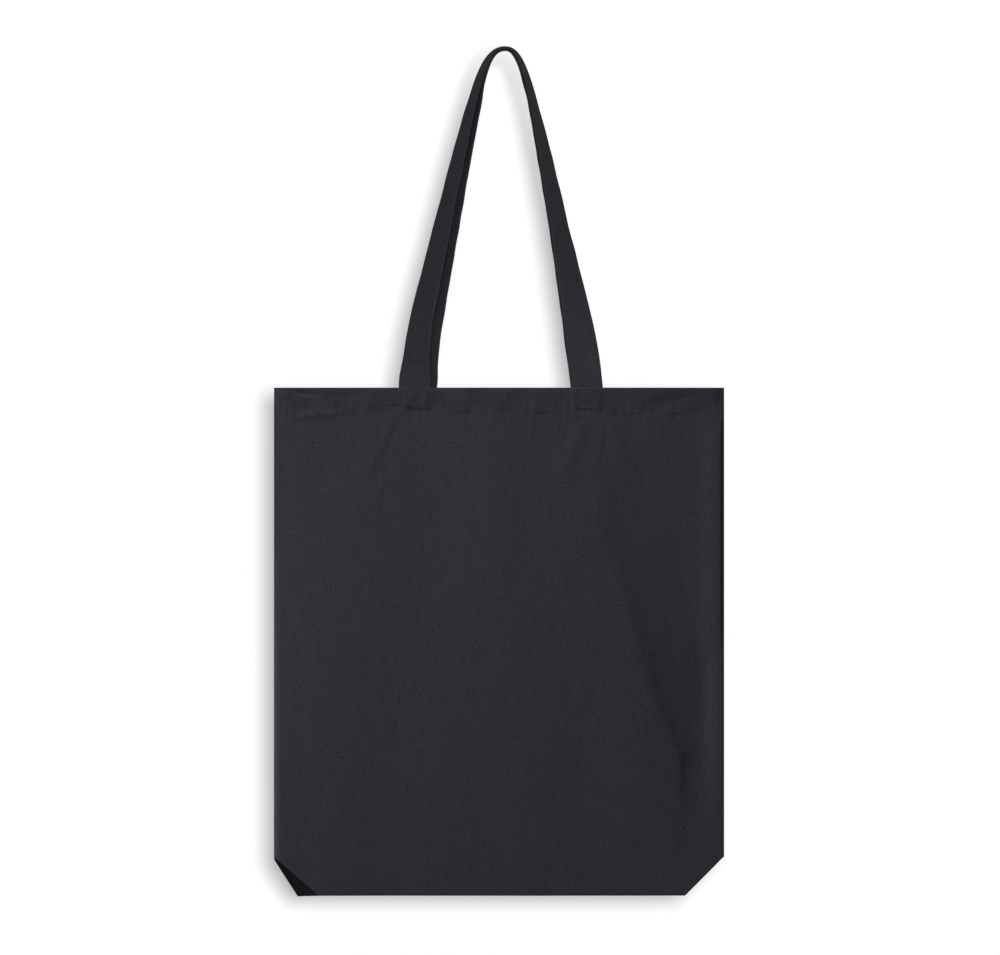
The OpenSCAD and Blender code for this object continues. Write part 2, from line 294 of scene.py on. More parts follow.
def panel_grid(side, step, base=True, panel=True):
    """A panel's middle surface as rows of points. The cloth runs from the bottom seam down inside,
    round the crease, up the outside, over the top and down inside as the hem."""
    inner = columns(side, step)
    roll = np.radians([40, 80, 120, 160, 180])
    edge = HALF_W - SIDE_ROLL
    xs = np.concatenate([np.full(6, -edge), inner, np.full(6, edge)])
    shift = np.zeros(len(xs))
    sink = np.zeros(len(xs))
    for k, angle in enumerate(roll):
        for index, hand in ((5 - k, -1), (len(xs) - 6 + k, 1)):
            shift[index] = hand * SIDE_ROLL * math.sin(angle)
            sink[index] = SIDE_ROLL * (1 - math.cos(angle))
    for index, hand in ((0, -1), (len(xs) - 1, 1)):
        shift[index] = -hand * 1.0 * MM
        sink[index] = 2 * SIDE_ROLL

    low = lowest(side, xs)
    floor_y = side * seam_y(xs) + 0.3 * MM
    y_low = panel_y(side, xs) + relief(side, xs, low)
    r = np.clip((y_low - floor_y) / 2, 0.1 * MM, CREASE_ROLL)
    low = low - 0.5 * MM
    y_list, z_list = [], []
    if base:
        top_y = floor_y + 0.05 * MM
        for q in np.linspace(0, 1, 15)[:-1]:
            bulge = 0.35 * MM * math.sin(math.pi * q) * smooth(0, 12 * MM, FOLD_H - low)
            y_list.append(top_y + (y_low - 2 * r - top_y) * q + bulge)
            z_list.append(FOLD_H + (low + r - FOLD_H) * q)
        for angle in np.linspace(math.pi, 0, 8):
            y_list.append(y_low - r + r * math.cos(angle))
            z_list.append(low + r - r * math.sin(angle))
    if panel:
        fine = np.arange(0.8 * MM, HEM_H + 12 * MM, 1.0 * MM)[::-1]
        levels = np.concatenate([np.arange(0, BODY_H - HEM_H - 12 * MM, step), BODY_H - fine])
        for level in levels[1 if base else 0:]:
            z = low + r + (BODY_H - TOP_ROLL - low - r) * level / levels[-1]
            z_list.append(z)
            y_list.append(panel_y(side, xs) + relief(side, xs, z))
        y_top = y_list[-1]
        for angle in np.linspace(0, math.pi, 8)[1:]:
            y_list.append(y_top - TOP_ROLL + TOP_ROLL * math.cos(angle))
            z_list.append(z_list[-1] * 0 + BODY_H - TOP_ROLL + TOP_ROLL * math.sin(angle))
        for z in np.arange(BODY_H - 2 * MM, BODY_H - HEM_H - 0.1 * MM, -1.5 * MM):
            z_list.append(np.full(len(xs), z))
            y_list.append(panel_y(side, xs) + relief(side, xs, z) - 2 * TOP_ROLL)
    y = np.maximum(np.array(y_list).T - sink[:, None], floor_y[:, None])
    z = np.array(z_list).T
    x = np.repeat((xs + shift)[:, None], y.shape[1], axis=1)
    return np.stack([x + MID_X, side * y, z + FLOOR_Z], axis=-1)


def outer_point(side, x, z):
    """A point on the outer face of a panel."""
    y = panel_y(side, x) + relief(side, x, z) + CLOTH_T / 2
    return np.array([x + MID_X, side * float(y), z + FLOOR_Z])


# ---- Making meshes ----

def new_object(name, vertices, faces, material, uv=None, normals=None, wear_and_edge_highlight=None):
    """A smooth mesh object. uv, normals and the edge mark (rubbed wear and a painted edge highlight) each
    have one row for every vertex.
    """
    mesh = bpy.data.meshes.new(name)
    mesh.from_pydata(np.asarray(vertices).tolist(), [], [list(map(int, f)) for f in faces])
    mesh.polygons.foreach_set("use_smooth", [True] * len(mesh.polygons))
    if uv is not None:
        loops = np.empty(len(mesh.loops), dtype=np.int32)
        mesh.loops.foreach_get("vertex_index", loops)
        layer = mesh.uv_layers.new(name=UV_NAME)
        layer.data.foreach_set("uv", np.asarray(uv, dtype=np.float32)[loops].ravel())
    if wear_and_edge_highlight is not None:
        layer = mesh.attributes.new("wear_and_edge_highlight", "FLOAT", "POINT")
        layer.data.foreach_set("value", np.asarray(wear_and_edge_highlight, dtype=np.float32).ravel())
    if normals is not None:
        mesh.normals_split_custom_set_from_vertices(np.asarray(normals).tolist())
    mesh.validate()
    mesh.update()
    obj = bpy.data.objects.new(name, mesh)
    bpy.context.scene.collection.objects.link(obj)
    for m in material if isinstance(material, (list, tuple)) else [material]:
        mesh.materials.append(m)
    return obj


def grid_normals(grid):
    """Normals of a surface that is given as rows of points."""
    return unit(np.cross(np.gradient(grid, axis=0), np.gradient(grid, axis=1)))


def lengths(grid, axis):
    """Length along the surface from its first row or column."""
    steps = np.linalg.norm(np.diff(grid, axis=axis), axis=-1)
    pad = [(0, 0), (0, 0)]
    pad[axis] = (1, 0)
    return np.cumsum(np.pad(steps, pad), axis=axis)


def shell(name, grid, uv, thickness, material, wear_and_edge_highlight=None, normals=None):
    """A closed sheet of cloth of that thickness around a middle surface."""
    nu, nv = grid.shape[:2]
    normals = grid_normals(grid) if normals is None else normals
    half = normals * thickness / 2
    vertices = np.concatenate([(grid + half).reshape(-1, 3), (grid - half).reshape(-1, 3)])
    index = np.arange(nu * nv).reshape(nu, nv)
    a, b, c, d = index[:-1, :-1], index[1:, :-1], index[1:, 1:], index[:-1, 1:]
    front = np.stack([a, b, c, d], axis=-1).reshape(-1, 4)
    faces = [front, front[:, ::-1] + nu * nv]
    rims = (index[:, 0], index[-1, :], index[::-1, -1], index[0, ::-1])
    for rim in rims:
        p, q = rim[:-1], rim[1:]
        faces.append(np.stack([p, p + nu * nv, q + nu * nv, q], axis=-1))
    uv = uv.reshape(-1, 2)
    wear_and_edge_highlight = np.zeros(nu * nv) if wear_and_edge_highlight is None else wear_and_edge_highlight.reshape(-1)
    return new_object(
        name, vertices, np.concatenate(faces), material,
        uv=np.concatenate([uv, uv]),
        normals=np.concatenate([normals.reshape(-1, 3), -normals.reshape(-1, 3)]),
        wear_and_edge_highlight=np.concatenate([wear_and_edge_highlight, wear_and_edge_highlight]),
    )


def sweep(name, rings, uv, material, wear_and_edge_highlight=None):
    """A closed solid through rings of points, with flat ends."""
    n, k = rings.shape[:2]
    index = np.arange(n * k).reshape(n, k)
    after = np.roll(index, -1, axis=1)
    quads = np.stack([index[:-1], after[:-1], after[1:], index[1:]], axis=-1).reshape(-1, 4)
    faces = quads.tolist() + [index[0][::-1].tolist(), index[-1].tolist()]
    obj = new_object(name, rings.reshape(-1, 3), faces, material, uv=uv.reshape(-1, 2), wear_and_edge_highlight=wear_and_edge_highlight)
    obj.data.set_sharp_from_angle(angle=math.radians(50))
    return obj


def join_parts(name, parts, materials):
    """One object from several meshes, each given as vertices, faces and the number of its material."""
    vertices, faces, slots, count = [], [], [], 0
    for v, f, slot in parts:
        vertices.append(np.asarray(v))
        faces += [[i + count for i in face] for face in f]
        slots += [slot] * len(f)
        count += len(v)
    obj = new_object(name, np.concatenate(vertices), faces, materials)
    obj.data.polygons.foreach_set("material_index", slots)
    return obj


# How a stitch runs: share of its length, height as a share of its arch, and share of its thickness
STITCH_SHAPE = ((0.0, -0.9, 0.45), (0.12, 0.1, 0.85), (0.5, 1.0, 1.0), (0.88, 0.1, 0.85), (1.0, -0.9, 0.45))


def tube_faces(count, sides):
    """Faces of a closed tube through count rings of points."""
    faces = []
    for r in range(count - 1):
        for k in range(sides):
            after = (k + 1) % sides
            faces.append([r * sides + k, r * sides + after, (r + 1) * sides + after, (r + 1) * sides + k])
    last = (count - 1) * sides
    return faces + [list(range(sides))[::-1], list(range(last, last + sides))]


def bead(start, end, up, radius, arch, sides=6):
    """One stitch: a short thread from start to end that dips into the cloth at both ends."""
    along = end - start
    side = unit(np.cross(along, up))
    turn = np.linspace(0, 2 * math.pi, sides, endpoint=False)[:, None]
    rings = []
    for t, lift, scale in STITCH_SHAPE:
        centre = start + along * t + up * (arch * lift)
        rings.append(centre + radius * scale * (np.cos(turn) * side + np.sin(turn) * up))
    return np.concatenate(rings), tube_faces(len(rings), sides), 0


def needle_hole(point, up, radius, sides=6):
    """A nearly black disc of painted shade where a stitch goes through the cloth, for the shadow in the
    needle's hole.
    """
    side = unit(np.cross(up, [0.3, 0.1, 0.9]))
    other = np.cross(up, side)
    turn = np.linspace(0, 2 * math.pi, sides, endpoint=False)[:, None]
    ring = point + up * 0.06 * MM + radius * (np.cos(turn) * side + np.sin(turn) * other)
    vertices = np.concatenate([ring, [point + up * 0.07 * MM], [point - up * 0.2 * MM]])
    faces = [[k, (k + 1) % sides, sides] for k in range(sides)]
    faces += [[(k + 1) % sides, k, sides + 1] for k in range(sides)]
    return vertices, faces, 1


def stitch_row(place, start, end, seed, hole=HOLE_R):
    """Stitches along a line, with discs of painted shade for the needle's holes between them; place(s)
    gives a point on the cloth and the way out of it, and hole is the radius of a hole."""
    draw = random.Random(seed)
    parts = []
    count = max(1, round(abs(end - start) / STITCH))
    way = math.copysign(1, end - start)
    for i in range(count):
        ends = []
        for k in (0, 1):
            s = start + (end - start) * (i + k) / count
            ends.append(place(s + way * STITCH_GAP / 2 * (1 - 2 * k) + draw.uniform(-0.12, 0.12) * MM))
        (p, up), (q, _) = ends
        parts.append(bead(p, q, up, THREAD_R * draw.uniform(0.8, 1.1), 0.12 * MM))
        if i:
            parts.append(needle_hole(*place(start + (end - start) * i / count), hole))
    return parts


def thread_tube(points, radius, sides=5):
    """A thread that follows points, as vertices and faces."""
    points = np.asarray(points)
    along = unit(np.gradient(points, axis=0))
    up = np.array([0.02, 1.0, 0.03])
    side = unit(np.cross(along, up))
    top = unit(np.cross(side, along))
    turn = np.linspace(0, 2 * math.pi, sides, endpoint=False)
    rings = points[:, None] + radius * (
        np.cos(turn)[None, :, None] * side[:, None] + np.sin(turn)[None, :, None] * top[:, None]
    )
    return rings.reshape(-1, 3), tube_faces(len(points), sides), 0


# ---- Materials ----

class Nodes:
    """Short ways to add nodes to a material."""

    def __init__(self, name):
        self.material = bpy.data.materials.new(name)
        self.material.use_nodes = True
        self.tree = self.material.node_tree
        self.shader = self.tree.nodes["Principled BSDF"]

    def link(self, source, target):
        self.tree.links.new(source, target)

    def put(self, value, socket):
        """The socket takes a number or a colour, or is linked to another node's output."""
        if isinstance(value, bpy.types.NodeSocket):
            self.link(value, socket)
        else:
            socket.default_value = value

    def add(self, kind, settings=None, **inputs):
        node = self.tree.nodes.new(kind)
        for key, value in (settings or {}).items():
            setattr(node, key, value)
        for key, value in inputs.items():
            self.put(value, node.inputs[key.replace("_", " ")])
        return node

    def math(self, operation, a, b=0.0):
        node = self.tree.nodes.new("ShaderNodeMath")
        node.operation = operation
        for value, socket in zip((a, b), node.inputs):
            self.put(value, socket)
        return node.outputs[0]

    def noise(self, u, v, w, scale_u, scale_v, detail=2.0):
        place = self.add("ShaderNodeCombineXYZ", X=self.math("MULTIPLY", u, scale_u),
                         Y=self.math("MULTIPLY", v, scale_v), Z=w)
        node = self.add("ShaderNodeTexNoise", Vector=place.outputs[0], Scale=1.0, Detail=detail)
        return node.outputs[0]

    def tint(self, colour, tone):
        """The shader's colour is colour, made lighter or darker by tone."""
        base = self.add("ShaderNodeVectorMath", {"operation": "SCALE"})
        base.inputs[0].default_value = colour
        self.link(tone, base.inputs["Scale"])
        self.link(base.outputs[0], self.shader.inputs["Base Color"])

    def between(self, value, low, high, out_low, out_high):
        node = self.add("ShaderNodeMapRange", {"interpolation_type": "SMOOTHSTEP"}, Value=value)
        ends = {"From Min": low, "From Max": high, "To Min": out_low, "To Max": out_high}
        for key, number in ends.items():
            node.inputs[key].default_value = number
        return node.outputs[0]


def canvas(name, colour, seed, streaks=1.0, gloss=0.08, sheen=0.03):
    """Plain-woven cotton canvas: the weave, uneven warp and weft threads, slubs, neps, and edges lightened
    by wear and a painted edge highlight.
    """
    n = Nodes(name)
    uv = n.add("ShaderNodeUVMap", {"uv_map": UV_NAME})
    parts = n.add("ShaderNodeSeparateXYZ", Vector=uv.outputs[0])
    u, v = parts.outputs[0], parts.outputs[1]

    pitch = 0.62 * MM
    cell_u, cell_v = n.math("DIVIDE", u, pitch), n.math("DIVIDE", v, pitch)
    warp = n.math("ABSOLUTE", n.math("SINE", n.math("MULTIPLY", cell_u, math.pi)))
    weft = n.math("ABSOLUTE", n.math("SINE", n.math("MULTIPLY", cell_v, math.pi)))
    over = n.math("MULTIPLY", n.math("SINE", n.math("MULTIPLY", cell_u, math.pi)),
                  n.math("SINE", n.math("MULTIPLY", cell_v, math.pi)))
    over = n.between(over, -0.35, 0.35, 0.0, 1.0)
    weave = n.math("ADD", n.math("MULTIPLY", warp, over),
                   n.math("MULTIPLY", weft, n.math("SUBTRACT", 1.0, over)))

    warp_tone = n.noise(u, v, seed, 1050, 32, 2.0)
    broad_tone = n.noise(u, v, seed + 3.1, 120, 4, 2.0)
    weft_tone = n.noise(u, v, seed + 5.7, 110, 1050, 2.0)
    grain = n.noise(u, v, seed + 7.7, 1250, 1250, 1.0)
    cloud = n.noise(u, v, seed + 9.3, 14, 9, 3.0)
    slub = n.between(n.noise(u, v, seed + 12.9, 120, 1400, 1.0), 0.76, 0.82, 0.0, 1.0)
    dark_nep = n.between(n.noise(u, v, seed + 21.4, 700, 760, 0.0), 0.78, 0.83, 0.0, 1.0)
    light_nep = n.between(n.noise(u, v, seed + 33.8, 1000, 800, 0.0), 0.77, 0.84, 0.0, 1.0)
    # The edge mark lightens the cloth: partly rubbed wear, partly a painted edge highlight.
    wear_and_edge_highlight = n.add("ShaderNodeAttribute", {"attribute_name": "wear_and_edge_highlight"}).outputs["Fac"]

    tone = 1.0
    for source, amount in ((warp_tone, 0.48 * streaks), (broad_tone, 0.05), (weft_tone, 0.30),
                           (grain, 0.98), (cloud, 0.04), (weave, 0.12)):
        tone = n.math("ADD", tone, n.math("MULTIPLY", n.math("SUBTRACT", source, 0.5), amount))
    for source, amount in ((slub, -0.30), (light_nep, 0.25), (dark_nep, -0.90), (wear_and_edge_highlight, 0.10)):
        tone = n.math("ADD", tone, n.math("MULTIPLY", source, amount))
    n.tint(colour, tone)

    rough = n.math("ADD", 0.86, n.math("MULTIPLY", n.math("SUBTRACT", cloud, 0.5), 0.16))
    n.link(rough, n.shader.inputs["Roughness"])
    height = n.math("ADD", weave, n.math("MULTIPLY", warp_tone, 0.35))
    height = n.math("ADD", height, n.math("MULTIPLY", slub, 1.4))
    bump = n.add("ShaderNodeBump", Height=height, Distance=0.10 * MM, Strength=0.55)
    n.link(bump.outputs[0], n.shader.inputs["Normal"])
    n.shader.inputs["Specular IOR Level"].default_value = gloss
    n.shader.inputs["Sheen Weight"].default_value = sheen
    n.shader.inputs["Sheen Roughness"].default_value = 0.5
    n.shader.inputs["Sheen Tint"].default_value = (0.75, 0.80, 1.0, 1.0)
    return n.material


def thread(name, colour):
    """Twisted cotton sewing thread."""
    n = Nodes(name)
    place = n.add("ShaderNodeTexCoord").outputs["Object"]
    twist = n.add("ShaderNodeTexNoise", Vector=place, Scale=3200.0, Detail=1.0).outputs[0]
    fuzz = n.add("ShaderNodeTexNoise", Vector=place, Scale=420.0, Detail=2.0).outputs[0]
    tone = n.math("ADD", 0.72, n.math("MULTIPLY", n.math("ADD", twist, fuzz), 0.28))
    n.tint(colour, tone)
    n.link(n.math("ADD", 0.55, n.math("MULTIPLY", fuzz, 0.3)), n.shader.inputs["Roughness"])
    bump = n.add("ShaderNodeBump", Height=twist, Distance=0.05 * MM, Strength=0.6)
    n.link(bump.outputs[0], n.shader.inputs["Normal"])
    return n.material


CLOTH_RGB = (0.0258, 0.0272, 0.0328)
# The straps' canvas is the panels' canvas made a little darker: painted shade for straps that turn away
# from the light.
STRAP_SHADED_RGB = (0.0245, 0.0258, 0.0312)
canvas_outside = canvas("canvas_panels", CLOTH_RGB, 1.0)
canvas_straps = canvas("canvas_straps", STRAP_SHADED_RGB, 41.0, streaks=0.8, gloss=0.02, sheen=0.01)
canvas_inside = canvas("canvas_seam_allowances", (0.0225, 0.0235, 0.0280), 77.0)
sewing_thread = thread("sewing_thread", (0.026, 0.028, 0.034))
overlock_thread = thread("overlock_thread", (0.040, 0.042, 0.048))
# Painted shade: nearly black discs that stand for the shadow inside each needle's hole.
hole_shadow = thread("needle_hole_shadows", (0.002, 0.002, 0.003))
hole_shadow.node_tree.nodes["Principled BSDF"].inputs["Specular IOR Level"].default_value = 0


# ---- Panels ----

def panel_uv(grid):
    """Weave coordinates in metres: across the cloth, and up it, level all along the outside."""
    z = grid[..., 2] - FLOOR_Z
    run = lengths(grid, 1)
    crease_row, top_row = z[len(z) // 2].argmin(), z[len(z) // 2].argmax()
    v = z.copy()
    v[:, :crease_row] = (z - run)[:, [crease_row]] + run[:, :crease_row]
    if top_row > crease_row:
        v[:, top_row:] = (z - run)[:, [top_row]] + run[:, top_row:]
    return np.stack([grid[..., 0] - MID_X, v], axis=-1)


def panel_wear_and_edge_highlight(grid):
    """Lighter where the cloth turns away from facing front or back, as along the top edge, the bottom
    crease and the side seams: partly rubbed wear, partly a painted edge highlight.
    """
    normals = grid_normals(grid)
    facing = np.abs(normals[..., 1])
    return np.clip(1 - facing / 0.8, 0, 1) * 0.6


def front_cloth():
    grid = panel_grid(-1, 2.6 * MM)
    obj = shell("front_cloth", grid, panel_uv(grid), CLOTH_T, canvas_outside, panel_wear_and_edge_highlight(grid))
    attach(obj, "bag_body")
    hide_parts("front_panel", "front_hem", "front_base_half",
                "front_left_corner_fold", "front_right_corner_fold")
    return obj


def back_base():
    grid = panel_grid(1, 3.4 * MM, panel=False)
    obj = shell("back_base_cloth", grid, panel_uv(grid), CLOTH_T, canvas_outside, panel_wear_and_edge_highlight(grid))
    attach(obj, "bag_body")
    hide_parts("back_base_half", "back_left_corner_fold", "back_right_corner_fold")
    return obj


def blend_sideways(obj, hand):
    """Moves the object's placement into its mesh."""
    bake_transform(obj)


def back_cloth():
    grid = panel_grid(1, 3.4 * MM, base=False)
    uv, wear_and_edge_highlight, normals = panel_uv(grid), panel_wear_and_edge_highlight(grid), grid_normals(grid)
    split = int(np.argmin(np.abs(grid[:, 0, 0] - MID_X)))
    halves = []
    for hand, part in ((-1, slice(0, split + 1)), (1, slice(split, len(grid)))):
        obj = shell(f"back_cloth_{HAND_NAME[hand]}", grid[part], uv[part], CLOTH_T,
                    canvas_outside, wear_and_edge_highlight[part], normals[part])
        blend_sideways(obj, hand)
        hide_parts("back_panel", "back_hem")
        halves.append(obj)
    return halves


# ---- Seams inside ----

# One turn of the overlock thread round the edge: how far in from the edge, and on which side
OVERLOCK_TURN = ((1, 1), (0.5, 1), (-0.06, 0.5), (-0.06, -0.5), (0.5, -1), (1, -1))


def overlock(place, start, end, name):
    """Overlock threads that wrap a raw edge; place(s) gives a point on the edge, the way in from it
    and the way across the cloth."""
    reach, half, pitch = 4.5 * MM, 0.75 * MM, 2.4 * MM
    count = int(abs(end - start) / pitch)
    points = []
    for i in range(count):
        for step, (inward, across) in enumerate(OVERLOCK_TURN):
            s = start + (end - start) * (i + step / len(OVERLOCK_TURN)) / count
            edge, way_in, way_across = place(s)
            points.append(edge + way_in * reach * inward + way_across * half * across)
    parts = [thread_tube(points, 0.17 * MM)]
    for side in (-1, 1):
        run = []
        for i in range(count + 1):
            edge, way_in, way_across = place(start + (end - start) * i / count)
            run.append(edge + way_in * (reach - 0.3 * MM) + way_across * side * (half + 0.1 * MM))
        parts.append(thread_tube(run, 0.16 * MM))
    return join_parts(name, parts, [overlock_thread])


def allowance(name, place, start, end, width):
    """Two layers of cloth sewn together, from their raw edge inwards over width."""
    rows = []
    for s in np.arange(start, end, 3 * MM):
        edge, way_in, way_across = place(s)
        row = []
        for t in np.linspace(0, 1, 7):
            ruffle = 0.25 * MM * (1 - t) * math.sin(s * 2 * math.pi / (37 * MM))
            row.append(edge + way_in * width * t + way_across * ruffle)
        rows.append(row)
    grid = np.array(rows)
    uv = np.stack([lengths(grid, 1), lengths(grid, 0)], axis=-1)
    return shell(name, grid, uv, 1.05 * MM, canvas_inside)


def finish_seam(obj, edge, node):
    """A seam's allowance and its threads ride together and stand for its CAD node."""
    edge.parent = obj
    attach(obj, "bag_body")
    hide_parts(node)


def side_seam(hand):
    """The side seam's allowance inside the bag, with its overlocked edge."""
    width = 9 * MM
    raw = HALF_W - SIDE_ROLL - 1.1 * MM - width

    def place(s):
        edge = np.array([MID_X + hand * raw, float(seam_y(hand * (HALF_W - width))), FLOOR_Z + s])
        return edge, np.array([hand * 1.0, 0, 0]), np.array([0, 1.0, 0])

    name = f"{HAND_NAME[hand]}_side_seam"
    start, end = FOLD_H + 3 * MM, BODY_H - HEM_H - 1 * MM
    obj = allowance(name + "_allowance", place, start, end, width)
    edge = overlock(place, start + 1 * MM, end - 2 * MM, name + "_overlock")
    finish_seam(obj, edge, name)


def bottom_seam():
    """The seam that joins both halves of the tucked-up bottom, standing up between the panels."""
    half = HALF_W - FOLD_H - 10 * MM
    top = FOLD_H + 10 * MM

    def place(s):
        edge = np.array([MID_X + s, 0.0, FLOOR_Z + top])
        return edge, np.array([0, 0, -1.0]), np.array([0, 1.0, 0])

    obj = allowance("bottom_seam_allowance", place, -half, half, 9.6 * MM)
    edge = overlock(place, -half + 1 * MM, half - 3 * MM, "bottom_seam_overlock")
    finish_seam(obj, edge, "bottom_seam")


def corner_seam(hand):
    """The seam across a boxed corner, folded down on both halves of the bottom."""
    name = f"{HAND_NAME[hand]}_corner_seam"
    outer = HALF_W - FOLD_H - 1.5 * MM
    for side in (-1, 1):
        def place(s, side=side):
            t = s / FOLD_H
            y = (panel_y(side, hand * outer) - 1.2 * MM) * (1 - t) + 0.6 * MM * t + 1.7 * MM
            edge = np.array([MID_X + hand * (outer - 9 * MM), side * y, FLOOR_Z + s])
            return edge, np.array([hand * 1.0, 0, 0]), unit(np.array([0, side * 1.0, 0.35]))

        obj = allowance(f"{name}_{SIDE_NAME[side]}", place, 12 * MM, FOLD_H - 2 * MM, 9 * MM)
        edge = overlock(place, 13 * MM, FOLD_H - 4 * MM, f"{name}_{SIDE_NAME[side]}_overlock")
        finish_seam(obj, edge, name)


# ---- Handles ----

# How each handle falls from the peg, as shares of the way out and down to where it is sewn on
LEG = {-1: (0.27, 0.32, 0.14), 1: (0.24, 0.315, 0.135)}
# How far each leg bends back to upright over its lowest quarter, and its turn at heights up the leg
LEG_BEND = {(-1, -1): 7.9 * MM, (-1, 1): 3.9 * MM, (1, -1): 2.6 * MM, (1, 1): 2.6 * MM}
LEG_TURN = {
    -1: ((0, 0), (0.09, 37), (0.32, 50), (0.56, 61), (0.79, 71), (0.91, 76), (0.97, 80), (1, 84)),
    1: ((0, 0), (0.07, 3), (0.2, 27), (0.32, 42), (0.44, 53), (0.56, 60), (0.68, 66), (0.85, 77),
        (0.97, 81), (1, 84)),
}


def free_curve(side, hand, count):
    """Middle line of half a handle as it would hang alone, from over the peg down to the top edge."""
    bend = hand * LEG_BEND[side, hand]
    span = END_X[side, hand] - PEG_X + bend
    top = HANDLE_TOP - STRAP_T / 2 - (0 if side < 0 else STRAP_T + NEST_GAP)
    end_z = BODY_H + 0.4 * MM
    drop = top - end_z
    first, second, down = LEG[side]
    p = np.array([[0, top], [first * span, top], [second * span, top - down * drop], [span, end_z]])
    t = np.linspace(0, 1, 2000)[:, None]
    dense = (1 - t) ** 3 * p[0] + 3 * (1 - t) ** 2 * t * p[1] + 3 * (1 - t) * t ** 2 * p[2] + t ** 3 * p[3]
    rise = (dense[:, 1] - end_z) / drop
    dense[:, 0] -= bend * np.clip(1 - rise / 0.25, 0, 1) ** 2
    s = run_length(dense)
    even = np.linspace(0, s[-1], count)
    line = np.stack([np.interp(even, s, dense[:, k]) for k in (0, 1)], axis=1)
    return line + [PEG_X, 0]


def leg_curve(side, hand, count):
    """The same line, with the back handle nested closely under the front one near the peg."""
    own = free_curve(side, hand, count)
    if side < 0:
        return own
    front = free_curve(-1, hand, count)
    along = unit(np.gradient(front, axis=0))
    along[0] = [hand, 0]
    inward = hand * np.stack([along[:, 1], -along[:, 0]], axis=1)
    rise = (own[:, 1] - own[-1, 1]) / (own[0, 1] - own[-1, 1])
    nested = smooth(0.80, 0.95, rise)[:, None]
    return own * (1 - nested) + (front + inward * (STRAP_T + NEST_GAP)) * nested


def sewn_curve(side, hand, leg, step):
    """The line goes on down behind the hem, where it bends back to upright."""
    slope = (leg[-1, 0] - leg[-2, 0]) / (leg[-1, 1] - leg[-2, 1])
    depths = np.arange(step, STRAP_END_H + 0.4 * MM, step)
    settle = 15 * MM
    bent = np.minimum(depths, settle)
    x = leg[-1, 0] - slope * (bent - bent ** 2 / (2 * settle))
    return np.stack([x, leg[-1, 1] - depths], axis=1)


def twist(hand, rise):
    """The strap faces forward where it is sewn on and turns a quarter round on its way to the peg."""
    heights, angles = zip(*LEG_TURN[hand])
    blur = np.linspace(-0.03, 0.03, 9)
    turns = [np.interp(np.abs(rise + shift), heights, angles) for shift in blur]
    soft = np.mean(turns, axis=0)
    return np.radians(soft * smooth(-0.001, 0.05, rise))


def strap_frames(side):
    """Stations along a whole handle from its left end to its right end: centre, across and out."""
    centres, acrosses, outs = [], [], []
    for hand in (-1, 1):
        leg = leg_curve(side, hand, 240)
        line = np.concatenate([leg, sewn_curve(side, hand, leg, 1.3 * MM)])
        along = unit(np.gradient(line, axis=0))
        along[0] = [hand, 0]
        outward = hand * np.stack([-along[:, 1], along[:, 0]], axis=1)
        rise = np.clip((line[:, 1] - leg[-1, 1]) / (leg[0, 1] - leg[-1, 1]), 0, 1)
        turn = twist(hand, rise)
        y = side * STRAP_Y * (1 - rise)
        centre = np.stack([line[:, 0] + MID_X, y, line[:, 1] + FLOOR_Z], axis=1)
        flat = np.stack([outward[:, 0], 0 * rise, outward[:, 1]], axis=1)
        back = np.array([0, 1.0, 0])
        across = flat * np.cos(turn)[:, None] + back * np.sin(turn)[:, None]
        out = flat * np.sin(turn)[:, None] - back * np.cos(turn)[:, None]
        order = slice(None, None, -1) if hand < 0 else slice(1, None)
        centres.append(centre[order])
        acrosses.append(across[order])
        outs.append(out[order])
    return np.concatenate(centres), np.concatenate(acrosses), np.concatenate(outs)


def strap_section():
    """Section of a folded strap: a rounded fold on one edge, two turned-in lips on the other."""
    w, h = STRAP_W / 2, STRAP_T / 2
    points = []
    for a in np.linspace(-w + 1.0 * MM, w - 0.9 * MM, 12):
        points.append((a, h))
    for inset, height in ((0.15, 0.75), (0, 0.35), (0.55, 0), (0, -0.35), (0.15, -0.75)):
        points.append((w - inset * MM, height * h))
    for a in np.linspace(w - 0.9 * MM, -w + 1.0 * MM, 12):
        points.append((a, -h))
    for angle in np.radians([130, 180, 230]):
        points.append((-w + 0.8 * MM + 0.8 * MM * math.cos(angle), -0.9 * h * math.sin(angle)))
    return np.array(points)


def strap_rings(side, frames):
    """The strap's surface, pulled in along its stitches and a little uneven along its length."""
    centre, across, out = frames
    section = strap_section()
    s = run_length(centre)[:, None]
    a, o = section[None, :, 0] + 0 * s, section[None, :, 1] + 0 * s
    row = STRAP_W / 2 - ROW_INSET
    pull = 1 - 0.30 * np.exp(-(((a - row) / (1.1 * MM)) ** 2)) - 0.10 * (np.abs(a) / (STRAP_W / 2)) ** 4
    sway = 0.16 * MM * ripples(51 + side, a * 0.6, s, 40 * MM, 30 * MM)
    edge = 0.22 * MM * ripples(61 + side, 0 * a, s, 60 * MM, 45 * MM) * np.sign(a) * (np.abs(a) > 12 * MM)
    a, o = a + edge, o * pull + sway
    rings = centre[:, None] + across[:, None] * a[..., None] + out[:, None] * o[..., None]
    around = np.linalg.norm(np.diff(section, axis=0, append=section[:1]), axis=1)
    u = np.concatenate([[0], np.cumsum(around)[:-1]])
    uv = np.stack([u[None, :] + 0 * s, s + 0 * u[None, :]], axis=-1)
    # Lighter along the strap's edges: partly rubbed wear, partly a painted edge highlight.
    wear_and_edge_highlight = 0.55 * np.exp(-(((STRAP_W / 2 - np.abs(a)) / (0.7 * MM)) ** 2))
    return rings, uv, wear_and_edge_highlight


